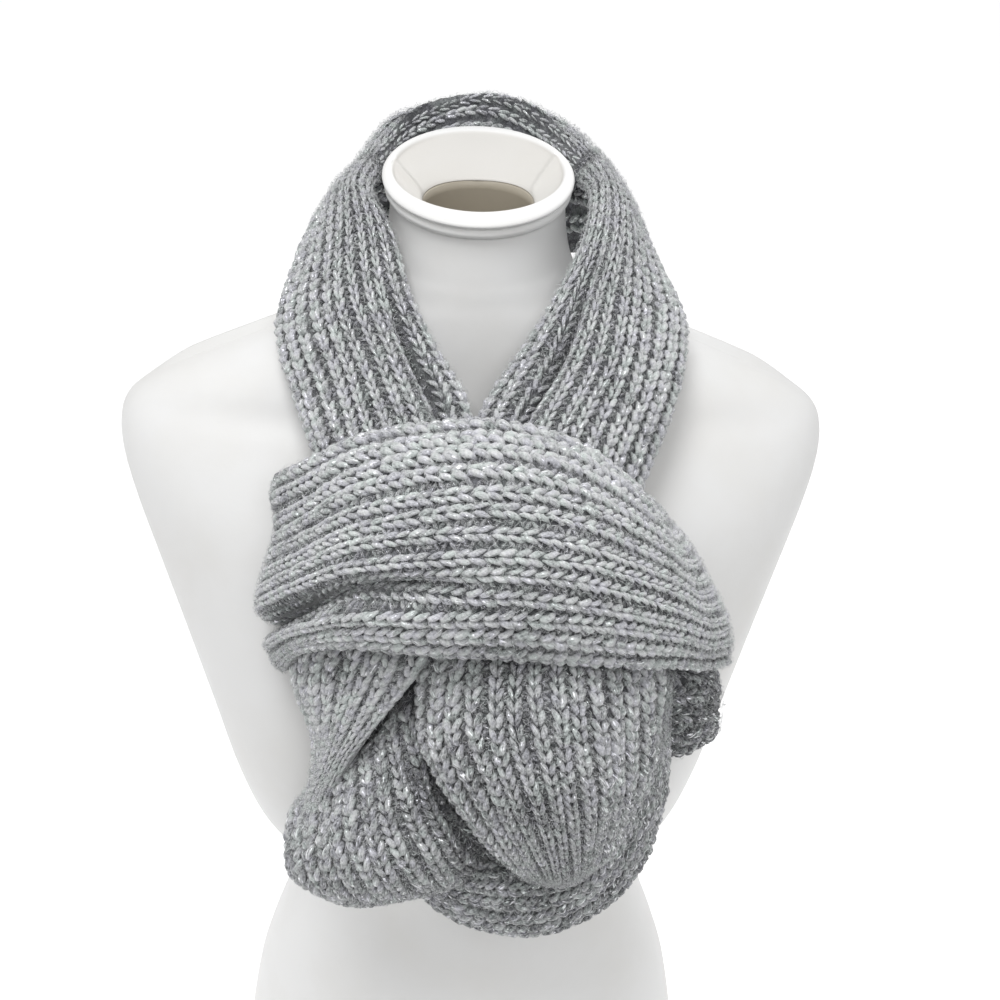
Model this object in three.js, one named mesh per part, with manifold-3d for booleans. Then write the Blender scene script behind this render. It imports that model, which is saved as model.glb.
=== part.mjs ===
// A rib-knit infinity scarf, looped round the neck of a limbless dress form and bunched on its chest.
// Millimetres, +Z up, front towards -Y, the middle of the form's flat base at the origin.
import * as THREE from "three";
import { mergeVertices } from "three/addons/utils/BufferGeometryUtils.js";
import Module from "manifold-3d";

const wasm = await Module();
wasm.setup();

// Driving dimensions
const clothThickness = 4; // of the knit in the channels between its ribs
const ribHeight = 2.2; // a rib stands this far over the channels
const seamGap = 0.4; // left wherever two pieces meet
const overlayDepth = 16; // how far out a stretch clears the ones that pass under it
const edgeCurl = 4; // how far the two edges of a stretch turn in
const edgeCurlRibs = 1.2; // over how many ribs they do
const formSides = 40;
const flangeSides = 40;
const flangeCentre = { y: 18, z: 659.5 }; // middle of the neck flange's top face
const flangeTilt = 16; // degrees that the flange leans to the front

const knitColor = 0x96999b;
const formColor = 0xf4f3f1;

// The dress form's level sections: height, middle in y, half width, half depth and squareness, where 2 is
// an ellipse.
const bodySections = [
  { z: 0, y: 9, wide: 143, deep: 98, square: 2.3 },
  { z: 10, y: 9, wide: 148, deep: 103, square: 2.3 },
  { z: 60, y: 9, wide: 149, deep: 105, square: 2.3 },
  { z: 120, y: 6, wide: 140, deep: 98, square: 2.2 },
  { z: 155, y: 4, wide: 130, deep: 91, square: 2.2 },
  { z: 186, y: 2, wide: 119, deep: 84, square: 2.2 },
  { z: 222, y: 0, wide: 108, deep: 78, square: 2.2 },
  { z: 246, y: -2, wide: 115, deep: 81, square: 2.2 },
  { z: 270, y: -3, wide: 133, deep: 87, square: 2.2 },
  { z: 305, y: -3, wide: 146, deep: 95, square: 2.2 },
  { z: 350, y: -1, wide: 158, deep: 102, square: 2.2 },
  { z: 400, y: 3, wide: 173, deep: 100, square: 2.2 },
  { z: 444, y: 9, wide: 187, deep: 94, square: 2.3 },
  { z: 476, y: 13, wide: 197, deep: 86, square: 2.4 },
  { z: 500, y: 16, wide: 203, deep: 75, square: 2.5 },
  { z: 518, y: 18, wide: 204, deep: 65, square: 2.5 },
  { z: 531, y: 19, wide: 199, deep: 57, square: 2.4 },
  { z: 543, y: 19, wide: 181, deep: 54.6, square: 2.3 },
  { z: 555, y: 19, wide: 154, deep: 53, square: 2.2 },
  { z: 567, y: 19, wide: 124, deep: 52, square: 2.1 },
  { z: 578, y: 19.5, wide: 97, deep: 51.8, square: 2 },
  { z: 589, y: 20, wide: 74, deep: 51.6, square: 2 },
];
// The neck's sections lean forward: lean in degrees, half width and half depth.
const neckSections = [
  { z: 600, y: 20, lean: 4, wide: 61, deep: 51.2 },
  { z: 612, y: 20, lean: 9, wide: 54, deep: 51.5 },
  { z: 622, y: 21.5, lean: 13, wide: 51, deep: 53.5 },
  { z: 637, y: 22.5, lean: 15, wide: 49, deep: 55 },
];
// The neck well and the flange are given by rings round the flange's axis: depth under its top face,
// shift to the back, half width and half depth.
const neckTopDepth = 10.75;
const neckTop = { down: neckTopDepth, back: 0, wide: 48.5, deep: 54.5 };
const wellMouth = { down: neckTopDepth, back: -15.5, wide: 30.5, deep: 26 };
const wellFloor = { down: 64, back: -15, wide: 29, deep: 24.5 };
const flangeProfile = [
  { down: 10.4, back: -15.5, wide: 30, deep: 25.5 },
  { down: 10.4, back: 0, wide: 48.5, deep: 54.5 },
  { down: 9.4, back: 0, wide: 50.8, deep: 56.8 },
  { down: 7.2, back: 0, wide: 51.6, deep: 57.6 },
  { down: 5.2, back: 0, wide: 50.8, deep: 56.8 },
  { down: 4.2, back: 0, wide: 50.2, deep: 56.2 },
  { down: 3.4, back: 0, wide: 51.8, deep: 57.8 },
  { down: 1.8, back: 0, wide: 52.7, deep: 59 },
  { down: 0.6, back: 0, wide: 52.2, deep: 58.4 },
  { down: 0, back: 0, wide: 50.8, deep: 57 },
  { down: 0.5, back: 4.3, wide: 47.6, deep: 48.7 },
  { down: 2.2, back: 3.6, wide: 45.6, deep: 45.5 },
  { down: 9, back: -15, wide: 30.5, deep: 26 },
];

// The scarf's stretches. Each row is a section across the ribs, from where the stretch starts to where it
// ends: its left edge, its middle and its right edge, as seen with the rows running down or to the right.
// Under names the stretches that pass over it. A fold is a crease along the ribs, or a swell where its depth
// is negative: the rib it follows, its depth, its width in ribs, and the shares of the stretch's length where
// it starts and ends. Stretches are listed from the outermost one inwards.
const leftSeam = { left: [-87, 76, 605], middle: [-66, 55, 656], right: [-57, 42, 648] };
const rightSeam = { left: [58, 42, 648], middle: [71, 54, 659], right: [89, 76, 605] };
const stretches = [
  {
    name: "scarf_band",
    under: [],
    ribs: 13,
    steps: 16,
    facing: [5, -60, 470],
    sections: [
      { left: [-105, -76, 517], middle: [-109, -80, 450], right: [-103, -88, 405] },
      { left: [-100, -94, 529], middle: [-104, -118, 473], right: [-98, -122, 428] },
      { left: [-82, -110, 543], middle: [-83, -156, 502], right: [-86, -152, 454] },
      { left: [-56, -123, 560], middle: [-57, -182, 527], right: [-60, -174, 471] },
      { left: [-26, -129, 569], middle: [-23, -199, 541], right: [-22, -190, 476] },
      { left: [8, -131, 571], middle: [10, -205, 546], right: [15, -195, 477] },
      { left: [44, -126, 560], middle: [46, -197, 537], right: [53, -188, 471] },
      { left: [73, -115, 536], middle: [85, -170, 509], right: [93, -166, 457] },
      { left: [85, -99, 517], middle: [108, -140, 482], right: [119, -138, 438] },
      { left: [85, -80, 512], middle: [122, -109, 469], right: [136, -107, 423] },
      { left: [78, -66, 510], middle: [116, -80, 464], right: [118, -84, 405] },
    ],
    folds: [
      { rib: 9, depth: 15, width: 0.7, from: 0.02, to: 0.46 },
      { rib: 7.5, depth: -4, width: 1.2, from: -0.1, to: 0.36 },
      { rib: 2.8, depth: 6, width: 1.9, from: -0.3, to: 0.3 },
      { rib: 11.9, depth: 5, width: 0.55, from: 0.66, to: 0.95 },
    ],
  },
  {
    name: "scarf_pull_left",
    under: ["scarf_band"],
    ribs: 6,
    steps: 12,
    facing: [-40, -60, 400],
    sections: [
      { left: [-94, -116, 452], middle: [-57, -144, 473], right: [-20, -158, 478] },
      { left: [-95, -122, 425], middle: [-65, -152, 447], right: [-23, -168, 462] },
      { left: [-88, -120, 399], middle: [-70, -151, 419], right: [-42, -167, 432] },
      { left: [-83, -117, 374], middle: [-73, -146, 397], right: [-61, -160, 399] },
      { left: [-86, -115, 351], middle: [-81, -140, 367], right: [-73, -151, 371] },
      { left: [-98, -110, 326], middle: [-90, -132, 341], right: [-81, -143, 344] },
    ],
    folds: [],
  },
  {
    name: "scarf_lobe_right",
    under: ["scarf_band", "scarf_pull_left"],
    ribs: 14,
    steps: 12,
    facing: [30, -60, 400],
    sections: [
      { left: [-25, -154, 466], middle: [32, -178, 475], right: [94, -142, 452] },
      { left: [-30, -162, 440], middle: [31, -202, 461], right: [97, -144, 425] },
      { left: [-30, -170, 416], middle: [34, -213, 442], right: [97, -143, 396] },
      { left: [-15, -178, 388], middle: [40, -214, 414], right: [94, -138, 368] },
      { left: [5, -177, 361], middle: [45, -204, 382], right: [90, -134, 346] },
      { left: [20, -166, 338], middle: [49, -185, 349], right: [84, -126, 328] },
      { left: [29, -146, 320], middle: [51, -158, 323], right: [76, -118, 312] },
    ],
    folds: [],
  },
  {
    name: "scarf_lobe_left",
    under: ["scarf_band", "scarf_pull_left"],
    ribs: 12,
    steps: 11,
    facing: [-30, -60, 360],
    sections: [
      { left: [-98, -116, 338], middle: [-58, -142, 395], right: [-18, -148, 452] },
      { left: [-102, -121, 316], middle: [-56, -164, 382], right: [-13, -150, 420] },
      { left: [-101, -121, 298], middle: [-54, -177, 362], right: [-2, -149, 390] },
      { left: [-89, -116, 283], middle: [-46, -176, 337], right: [16, -149, 364] },
      { left: [-67, -104, 274], middle: [-35, -152, 307], right: [32, -144, 338] },
      { left: [-54, -90, 279], middle: [-20, -114, 289], right: [33, -126, 314] },
    ],
    folds: [{ rib: 10.6, depth: 5, width: 1, from: -0.25, to: 1.1 }],
  },
  {
    name: "scarf_bottom_edge",
    under: ["scarf_band"],
    ribs: 3,
    steps: 20,
    facing: [20, -80, 400],
    sections: [
      { left: [90, -138, 439], middle: [97, -130, 435], right: [104, -114, 425] },
      { left: [90, -145, 414], middle: [96, -136, 410], right: [104, -115, 396] },
      { left: [87, -151, 393], middle: [95, -141, 382], right: [107, -115, 359] },
      { left: [77, -155, 372], middle: [89, -145, 355], right: [104, -115, 324] },
      { left: [62, -159, 351], middle: [77, -149, 330], right: [96, -116, 292] },
      { left: [49, -158, 332], middle: [62, -150, 309], right: [78, -116, 265] },
      { left: [34, -150, 328], middle: [42, -148, 296], right: [50, -117, 251] },
      { left: [18, -150, 328], middle: [21, -146, 293], right: [22, -118, 250] },
      { left: [2, -144, 320], middle: [-3, -139, 292], right: [-10, -113, 258] },
      { left: [-18, -138, 306], middle: [-24, -123, 291], right: [-32, -102, 271] },
    ],
    folds: [],
  },
  {
    name: "scarf_tail_right",
    under: ["scarf_band"],
    ribs: 4,
    steps: 8,
    facing: [100, -60, 400],
    sections: [
      { left: [92, -104, 430], middle: [95, -118, 409], right: [101, -106, 374] },
      { left: [111, -100, 432], middle: [111, -119, 407], right: [112, -104, 361] },
      { left: [127, -92, 424], middle: [125, -110, 400], right: [128, -97, 364] },
      { left: [135, -82, 400], middle: [137, -94, 386], right: [138, -85, 369] },
    ],
    folds: [],
  },
  {
    name: "scarf_front_left",
    under: ["scarf_band"],
    ribs: 11,
    steps: 15,
    facing: [-40, 60, 520],
    sections: [
      leftSeam,
      { left: [-92, 48, 619], middle: [-73, 24, 649], right: [-58, 12, 645] },
      { left: [-102, 18, 600], middle: [-73, -9, 631], right: [-46, -8, 632] },
      { left: [-110, -8, 576], middle: [-70, -43, 602], right: [-35, -35, 606] },
      { left: [-100, -41, 554], middle: [-57, -71, 576], right: [-21, -57, 583] },
      { left: [-88, -68, 533], middle: [-47, -95, 558], right: [-6, -74, 564] },
      { left: [-80, -86, 520], middle: [-38, -114, 543], right: [1, -94, 545] },
    ],
    folds: [{ rib: 8.9, depth: 8, width: 0.6, from: 0.5, to: 1.1 }],
  },
  {
    name: "scarf_front_right",
    under: ["scarf_band", "scarf_front_left"],
    ribs: 12,
    steps: 15,
    facing: [40, 60, 520],
    sections: [
      rightSeam,
      { left: [61, 12, 647], middle: [77, 22, 651], right: [92, 48, 621] },
      { left: [56, -14, 629], middle: [77, -17, 631], right: [104, 18, 602] },
      { left: [41, -35, 607], middle: [71, -47, 606], right: [116, -9, 582] },
      { left: [22, -57, 583], middle: [62, -77, 580], right: [110, -43, 561] },
      { left: [5, -75, 563], middle: [46, -101, 557], right: [96, -67, 532] },
      { left: [-3, -93, 550], middle: [38, -118, 541], right: [84, -86, 506] },
    ],
    folds: [{ rib: 3, depth: 9, width: 0.6, from: 0.3, to: 1.1 }],
  },
  {
    name: "scarf_back_neck",
    under: [],
    ribs: 9,
    steps: 14,
    facing: [0, 20, 600],
    sections: [
      leftSeam,
      { left: [-68, 102, 598], middle: [-46, 87, 674], right: [-40, 78, 652] },
      { left: [-4, 118, 590], middle: [5, 98, 685], right: [0, 82, 662] },
      { left: [70, 102, 598], middle: [49, 87, 674], right: [39, 78, 652] },
      { left: rightSeam.right, middle: rightSeam.middle, right: rightSeam.left },
    ],
    folds: [{ rib: 6.1, depth: 7, width: 0.7, from: 0.1, to: 0.9 }],
  },
];

// The cloth gathered inside the bunch, in level sections: middle in x, half width, and how far it reaches
// to the front and the back.
const bunchSections = [
  { z: 540, x: -8, wide: 40, front: -128, back: -50 },
  { z: 515, x: 0, wide: 68, front: -158, back: -60 },
  { z: 480, x: 4, wide: 78, front: -178, back: -70 },
  { z: 440, x: 2, wide: 78, front: -178, back: -85 },
  { z: 400, x: 0, wide: 76, front: -176, back: -90 },
  { z: 352, x: -6, wide: 70, front: -166, back: -90 },
  { z: 312, x: -6, wide: 60, front: -148, back: -88 },
  { z: 290, x: -4, wide: 40, front: -130, back: -84 },
];

const add = (a, b, scale = 1) => a.map((value, axis) => value + b[axis] * scale);
const cross = (a, b) => [a[1] * b[2] - a[2] * b[1], a[2] * b[0] - a[0] * b[2], a[0] * b[1] - a[1] * b[0]];
const dot = (a, b) => a[0] * b[0] + a[1] * b[1] + a[2] * b[2];
const unit = (a) => a.map((value) => value / Math.hypot(...a));

// Closed indexed triangles as a solid. Meeting vertices are merged first.
function solidFrom(points, triangles) {
  const loose = new THREE.BufferGeometry();
  loose.setAttribute("position", new THREE.Float32BufferAttribute(points.flat(), 3));
  loose.setIndex(triangles.flat());
  const merged = mergeVertices(loose, 1e-3);
  const kept = [];
  const index = merged.index.array;
  for (let i = 0; i < index.length; i += 3) {
    const [a, b, c] = index.slice(i, i + 3);
    if (a !== b && b !== c && c !== a) kept.push(a, b, c);
  }
  const mesh = new wasm.Mesh({
    numProp: 3,
    vertProperties: merged.attributes.position.array,
    triVerts: new Uint32Array(kept),
  });
  mesh.merge();
  const solid = new wasm.Manifold(mesh);
  if (solid.volume() > 0) return solid;
  return solidFrom(points, triangles.map(([a, b, c]) => [a, c, b]));
}

// The largest body of a solid, without the crumbs that a cut can leave.
function largestBody(solid) {
  return solid.decompose().sort((a, b) => b.volume() - a.volume())[0];
}

// A solid from rings of equal length. It ends on flat or pointed caps, or runs round into its first ring.
function loft(rings, closesOnItself = false) {
  const sides = rings[0].length;
  const points = rings.flat();
  const triangles = [];
  const last = closesOnItself ? rings.length : rings.length - 1;
  for (let ring = 0; ring < last; ring++) {
    const next = ((ring + 1) % rings.length) * sides;
    for (let side = 0; side < sides; side++) {
      const a = ring * sides + side;
      const b = ring * sides + ((side + 1) % sides);
      const c = next + ((side + 1) % sides);
      const d = next + side;
      triangles.push([a, b, c], [a, c, d]);
    }
  }
  if (!closesOnItself)
    for (const [start, turned] of [[0, true], [(rings.length - 1) * sides, false]]) {
      const ring = points.slice(start, start + sides);
      const middle = ring.reduce((sum, point) => add(sum, point, 1 / sides), [0, 0, 0]);
      points.push(middle);
      for (let side = 0; side < sides; side++) {
        const a = start + side;
        const b = start + ((side + 1) % sides);
        triangles.push(turned ? [b, a, points.length - 1] : [a, b, points.length - 1]);
      }
    }
  return solidFrom(points, triangles);
}

// A level superellipse of half widths wide and deep, grown by clearance.
function levelRing({ z, x = 0, y, wide, deep, square = 2, lean = 0 }, sides, clearance = 0) {
  const tilt = THREE.MathUtils.degToRad(lean);
  return Array.from({ length: sides }, (_, side) => {
    const turn = (2 * Math.PI * side) / sides;
    const bow = (value) => Math.sign(value) * Math.abs(value) ** (2 / square);
    const across = (wide + clearance) * bow(Math.cos(turn));
    const along = (deep + clearance) * bow(Math.sin(turn));
    return [x + across, y + along * Math.cos(tilt), z + along * Math.sin(tilt)];
  });
}

// A ring round the flange's axis, down below its top face.
function flangeRing({ down, back, wide, deep }, sides, clearance = 0) {
  const tilt = THREE.MathUtils.degToRad(flangeTilt);
  return levelRing(
    {
      y: flangeCentre.y + down * Math.sin(tilt) + back * Math.cos(tilt),
      z: flangeCentre.z - down * Math.cos(tilt) + back * Math.sin(tilt),
      wide,
      deep,
      lean: flangeTilt,
    },
    sides,
    clearance,
  );
}

// Body and neck in one, with the well that the flange opens into. The solid that cuts cloth has no well.
function formSolid(clearance) {
  const outside = [
    ...bodySections.map((row) => levelRing(row, formSides, clearance)),
    ...neckSections.map((row) => levelRing(row, formSides, clearance)),
    flangeRing(neckTop, formSides, clearance),
  ];
  if (clearance) return loft(outside);
  return loft([...outside, flangeRing(wellMouth, formSides), flangeRing(wellFloor, formSides)]);
}

// The flange, a ring whose profile closes on itself round the well. The solid that cuts cloth is full.
function flangeSolid(clearance) {
  if (!clearance) return loft(flangeProfile.map((row) => flangeRing(row, flangeSides)), true);
  const outside = flangeProfile.slice(1, 10);
  return loft(outside.map((row) => flangeRing(row, flangeSides, clearance)));
}

// Catmull-Rom through a stretch's sections, and a parabola across each: a point of the cloth's middle
// surface at share u from the left edge and share v from the start.
function basePoint(stretch, u, v) {
  const { sections } = stretch;
  const spot = v * (sections.length - 1);
  const first = Math.min(Math.max(Math.floor(spot), 0), sections.length - 2);
  const part = spot - first;
  const sectionAt = (i) => {
    const inside = Math.min(Math.max(i, 0), sections.length - 1);
    const { left, middle, right } = sections[inside];
    const weights = [(1 - u) * (1 - 2 * u), 4 * u * (1 - u), u * (2 * u - 1)];
    return [0, 1, 2].map(
      (axis) => left[axis] * weights[0] + middle[axis] * weights[1] + right[axis] * weights[2],
    );
  };
  const b = sectionAt(first);
  const c = sectionAt(first + 1);
  const a = first === 0 ? add(add(b, b), c, -1) : sectionAt(first - 1);
  const d = first === sections.length - 2 ? add(add(c, c), b, -1) : sectionAt(first + 2);
  return b.map((_, axis) => {
    const linear = c[axis] - a[axis];
    const square = 2 * a[axis] - 5 * b[axis] + 4 * c[axis] - d[axis];
    const cube = 3 * b[axis] - a[axis] - 3 * c[axis] + d[axis];
    return b[axis] + 0.5 * (linear * part + square * part ** 2 + cube * part ** 3);
  });
}

// How far folds and turned-in edges carry the cloth inwards.
function inset(stretch, u, v) {
  const rib = u * stretch.ribs;
  const fromEdge = Math.max(Math.min(rib, stretch.ribs - rib), 0);
  let depth = edgeCurl * Math.max(0, 1 - fromEdge / edgeCurlRibs) ** 2;
  for (const fold of stretch.folds) {
    const along = (v - fold.from) / (fold.to - fold.from);
    if (along <= 0 || along >= 1) continue;
    depth += fold.depth * Math.sin(Math.PI * along) * Math.exp(-(((rib - fold.rib) / fold.width) ** 2));
  }
  return depth;
}

// A point of the cloth, out from its middle surface.
function clothPoint(stretch, u, v, out) {
  const small = 1e-3;
  const point = basePoint(stretch, u, v);
  const across = add(basePoint(stretch, u + small, v), basePoint(stretch, u - small, v), -1);
  const along = add(basePoint(stretch, u, v + small), basePoint(stretch, u, v - small), -1);
  const normal = unit(cross(across, along));
  const outward = dot(normal, add(point, stretch.facing, -1)) > 0 ? 1 : -1;
  return add(point, normal, outward * (out - inset(stretch, u, v)));
}

// The cloth of one stretch: a plain inner wall with one point to a rib, and an outer wall whose ribs stand
// up between the channels, with three. A solid that cuts its neighbours has clearance all round, and one
// that cuts what passes under it is thickened outwards by overlay too.
function stretchSolid(stretch, clearance = 0, overlay = 0) {
  const { ribs, steps } = stretch;
  const length = Math.hypot(...add(basePoint(stretch, 0.5, 1), basePoint(stretch, 0.5, 0), -1));
  const width = Math.hypot(...add(basePoint(stretch, 1, 0.5), basePoint(stretch, 0, 0.5), -1));
  const spread = (share, margin) => share + (share >= 1 ? margin : 0) - (share <= 0 ? margin : 0);
  const endMargin = clearance ? clearance / length : -0.2 / length;
  const sideMargin = clearance / width;
  const inner = -clothThickness / 2 - clearance;
  const outer = clothThickness / 2;
  const ribShares = [0, 0.28, 0.72];
  const points = [];
  const innerCount = ribs + 1;
  const outerCount = 3 * ribs + 1;
  for (let step = 0; step <= steps; step++) {
    const v = spread(step / steps, endMargin);
    for (let rib = 0; rib <= ribs; rib++)
      points.push(clothPoint(stretch, spread(rib / ribs, sideMargin), v, inner));
    for (let column = 0; column < outerCount; column++) {
      const share = (Math.floor(column / 3) + ribShares[column % 3]) / ribs;
      const raised = column % 3 ? ribHeight : 0;
      const out = outer + clearance + (overlay || raised);
      points.push(clothPoint(stretch, spread(share, sideMargin), v, out));
    }
  }
  const rowLength = innerCount + outerCount;
  const innerAt = (step, rib) => step * rowLength + rib;
  const outerAt = (step, column) => step * rowLength + innerCount + column;
  const triangles = [];
  const quad = (a, b, c, d) => triangles.push([a, b, c], [a, c, d]);
  for (let step = 0; step < steps; step++) {
    for (let rib = 0; rib < ribs; rib++)
      quad(innerAt(step, rib), innerAt(step, rib + 1), innerAt(step + 1, rib + 1), innerAt(step + 1, rib));
    for (let column = 0; column < outerCount - 1; column++)
      quad(
        outerAt(step, column + 1),
        outerAt(step, column),
        outerAt(step + 1, column),
        outerAt(step + 1, column + 1),
      );
    quad(outerAt(step, 0), innerAt(step, 0), innerAt(step + 1, 0), outerAt(step + 1, 0));
    const last = outerCount - 1;
    quad(innerAt(step, ribs), outerAt(step, last), outerAt(step + 1, last), innerAt(step + 1, ribs));
  }
  for (const [step, turned] of [[0, false], [steps, true]])
    for (let rib = 0; rib < ribs; rib++) {
      const over = [0, 1, 2, 3].map((i) => outerAt(step, 3 * rib + i));
      const fan = [innerAt(step, rib), ...over, innerAt(step, rib + 1)];
      for (let i = 1; i < fan.length - 1; i++)
        triangles.push(turned ? [fan[0], fan[i + 1], fan[i]] : [fan[0], fan[i], fan[i + 1]]);
    }
  return solidFrom(points, triangles);
}

// The gathered cloth inside the bunch, before the stretches and the form are cut from it.
function bunchSolid() {
  const rings = bunchSections.map(({ z, x, wide, front, back }) =>
    levelRing({ z, x, y: (front + back) / 2, wide, deep: (back - front) / 2, square: 2.1 }, 28),
  );
  return loft(rings);
}

function meshOf(name, solid, color, roughness) {
  const { vertProperties, triVerts } = solid.getMesh();
  const geometry = new THREE.BufferGeometry();
  geometry.setAttribute("position", new THREE.BufferAttribute(vertProperties, 3));
  geometry.setIndex(new THREE.BufferAttribute(triVerts, 1));
  const flat = geometry.toNonIndexed();
  flat.computeVertexNormals();
  const mesh = new THREE.Mesh(flat, new THREE.MeshStandardMaterial({ color, roughness, metalness: 0 }));
  mesh.name = name;
  return mesh;
}

// The form first, then each stretch, cut back from the form and from the stretches over and beside it.
const object = new THREE.Group();
object.add(meshOf("form_torso", formSolid(0), formColor, 0.35));
object.add(meshOf("form_flange", flangeSolid(0), formColor, 0.35));
const formCutters = [formSolid(seamGap), flangeSolid(seamGap)];
const placed = [];
for (const stretch of stretches) {
  const beside = placed.map((other) => stretchSolid(other, seamGap));
  const over = placed
    .filter((other) => stretch.under.includes(other.name))
    .map((other) => stretchSolid(other, seamGap, overlayDepth));
  const cutters = [...formCutters, ...beside, ...over];
  const cloth = cutters.reduce((solid, cutter) => solid.subtract(cutter), stretchSolid(stretch));
  object.add(meshOf(stretch.name, largestBody(cloth), knitColor, 0.9));
  placed.push(stretch);
}
const allCutters = [
  ...formCutters,
  ...placed.map((stretch) => stretchSolid(stretch, seamGap)),
  ...placed.map((stretch) => stretchSolid(stretch, seamGap, overlayDepth)),
];
const gathered = allCutters.reduce((solid, cutter) => solid.subtract(cutter), bunchSolid());
object.add(meshOf("scarf_bunch_inside", largestBody(gathered), knitColor, 0.9));

export default object;
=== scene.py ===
# A chunky rib-knit infinity scarf with a silver thread, looped round the neck of a white dress form.
import math
import bpy
import numpy as np
from mathutils import Matrix, Vector
from mathutils.bvhtree import BVHTree


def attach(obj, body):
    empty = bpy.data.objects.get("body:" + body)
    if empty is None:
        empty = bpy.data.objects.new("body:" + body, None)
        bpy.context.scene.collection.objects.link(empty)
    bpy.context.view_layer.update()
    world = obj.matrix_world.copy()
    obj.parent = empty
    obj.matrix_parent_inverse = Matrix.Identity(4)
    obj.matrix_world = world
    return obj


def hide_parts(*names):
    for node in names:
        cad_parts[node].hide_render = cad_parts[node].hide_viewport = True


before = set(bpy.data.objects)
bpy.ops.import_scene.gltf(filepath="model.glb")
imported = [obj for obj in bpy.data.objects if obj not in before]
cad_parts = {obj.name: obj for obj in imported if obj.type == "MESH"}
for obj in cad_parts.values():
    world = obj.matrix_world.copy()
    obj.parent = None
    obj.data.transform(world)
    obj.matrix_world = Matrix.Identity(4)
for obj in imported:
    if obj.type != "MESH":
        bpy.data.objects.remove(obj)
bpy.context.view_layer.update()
mm = 0.001

# How the knit is made, in metres and in shares of a rib.
knit = {
    "thickness": 0.004,        # of the wall under the stitches
    "ribHeight": 0.0022,       # a rib's crest over the channel beside it
    "ribPitch": 0.0095,        # from rib to rib where the cloth lies relaxed
    "stitchPitch": 0.0063,     # from one V to the next along a rib
    "yarnRadius": 0.00156,
    "sunk": 0.0011,            # how far the wall lies under the stitches' own level
    "edgeCurl": 0.004,         # how far an edge turns in
    "edgeCurlRibs": 1.2,       # over how many ribs it does
    "wallColumns": 6,          # of the wall to a rib
    "wallStep": 0.005,         # from row to row of the wall
    "rings": 5,                # along one leg of a V
    "sides": 6,                # round it
    "fibresPerArea": 225000,   # hairs of the halo on a square metre
    "fibreLength": 0.0060,
    "fibreRadius": 0.00010,
    "fibreTop": (0.0036, 0.0060),   # how high they stand over the middle surface
    "fibreTurn": 0.9,          # how far they turn from the rib's way, in radians
    "fibreTones": (0.6, 1.0),
    "lumps": 0.10,             # how unevenly thick a leg is along its length
    "paintedFoldShade": 0.28,         # painted shade: how much darker the yarn is painted at the bottom of a fold
    "foldDepth": 0.009,        # the depth at which it is darkest
    "fineSteps": 160,          # along a rib's middle, to measure its length
    "swing": (0.085, 0.205),   # a leg's distance from the rib's middle, and how far it swings out, in ribs
    "swingSpread": (0.02, 0.012),
    "leg": (-0.25, 1.34),      # where a leg starts and how long it is, in stitches
    "drift": 0.08,             # how far a rib wanders sideways, in ribs
    "arch": 0.0010,            # how far a leg bows up in its middle and dips at its ends
    "barWidth": 0.5,           # of a bar across the channel, in ribs
    "barSlant": 0.45,          # in stitches
    "barRadius": 0.78,         # against a leg's
    "barTone": 0.14,           # over the channel's painted shade
    "toneSpread": 0.07,        # from leg to leg
    "waver": 0.0008,           # height of the slow wave over the cloth
    "yarnTone": 0.52,          # of a stretch that states none
}

# The cloth as a surface of two parameters

def unit(a):
    # Vectors over their own length.
    return a / np.maximum(np.linalg.norm(a, axis=-1, keepdims=True), 1e-12)


def smooth(x):
    # 3x^2 - 2x^3 from 0 to 1, and level outside.
    x = np.clip(x, 0, 1)
    return x * x * (3 - 2 * x)


def padEnds(rows):
    # One more row at each end, as far out as the next one lies in.
    return np.concatenate([[2 * rows[0] - rows[1]], rows, [2 * rows[-1] - rows[-2]]])


def findSpan(spot, count):
    # The first row of the span that each spot lies in, and the share of the span that it has gone.
    first = np.clip(np.floor(spot).astype(int), 0, count - 2)
    return first, (spot - first)[..., None]


def curveThrough(a, b, c, d, part):
    # Catmull-Rom: the cubic from b to c whose slopes there are half of c - a and half of d - b.
    return b + 0.5 * ((c - a) * part + (2 * a - 5 * b + 4 * c - d) * part**2
                      + (3 * b - a - 3 * c + d) * part**3)


def basePoint(piece, u, v):
    # A parabola across each section through its left edge, middle and right edge, and a Catmull-Rom curve
    # along v from section to section.
    count = len(piece["sections"])
    rows = padEnds(np.array(piece["sections"], float) * mm)
    first, part = findSpan(v * (count - 1), count)
    weights = np.stack([(1 - u) * (1 - 2 * u), 4 * u * (1 - u), u * (2 * u - 1)], -1)
    near = (np.einsum("...k,...kd->...d", weights, rows[first + i]) for i in range(4))
    return curveThrough(*near, part)


def inset(piece, u, v):
    # Depth of the turned-in edges, a square law over the outer ribs, and of the folds along the ribs, each a
    # half sine along the stretch times a bell across it; less a slow wave that keeps the cloth uneven.
    rib = u * piece["ribs"]
    fromEdge = np.clip(np.minimum(rib, piece["ribs"] - rib), 0, None)
    depth = knit["edgeCurl"] * np.clip(1 - fromEdge / knit["edgeCurlRibs"], 0, None) ** 2
    for ribAt, deep, wide, start, end in piece["folds"]:
        along = np.clip((v - start) / (end - start), 0, 1)
        depth = depth + deep * mm * np.sin(np.pi * along) * np.exp(-(((rib - ribAt) / wide) ** 2))
    for fromU, fromV, toU, toV, deep, wide in piece.get("creases", ()):
        depth = depth + deep * mm * creaseShare(piece, u, v, (fromU, fromV), (toU, toV), wide * mm)
    phase = piece["seed"] * 1.7
    wave = np.sin(rib * 0.9 + v * 7 + phase) * np.sin(v * 11 - rib * 0.5 + phase * 2)
    return depth - knit["waver"] * wave


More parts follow.
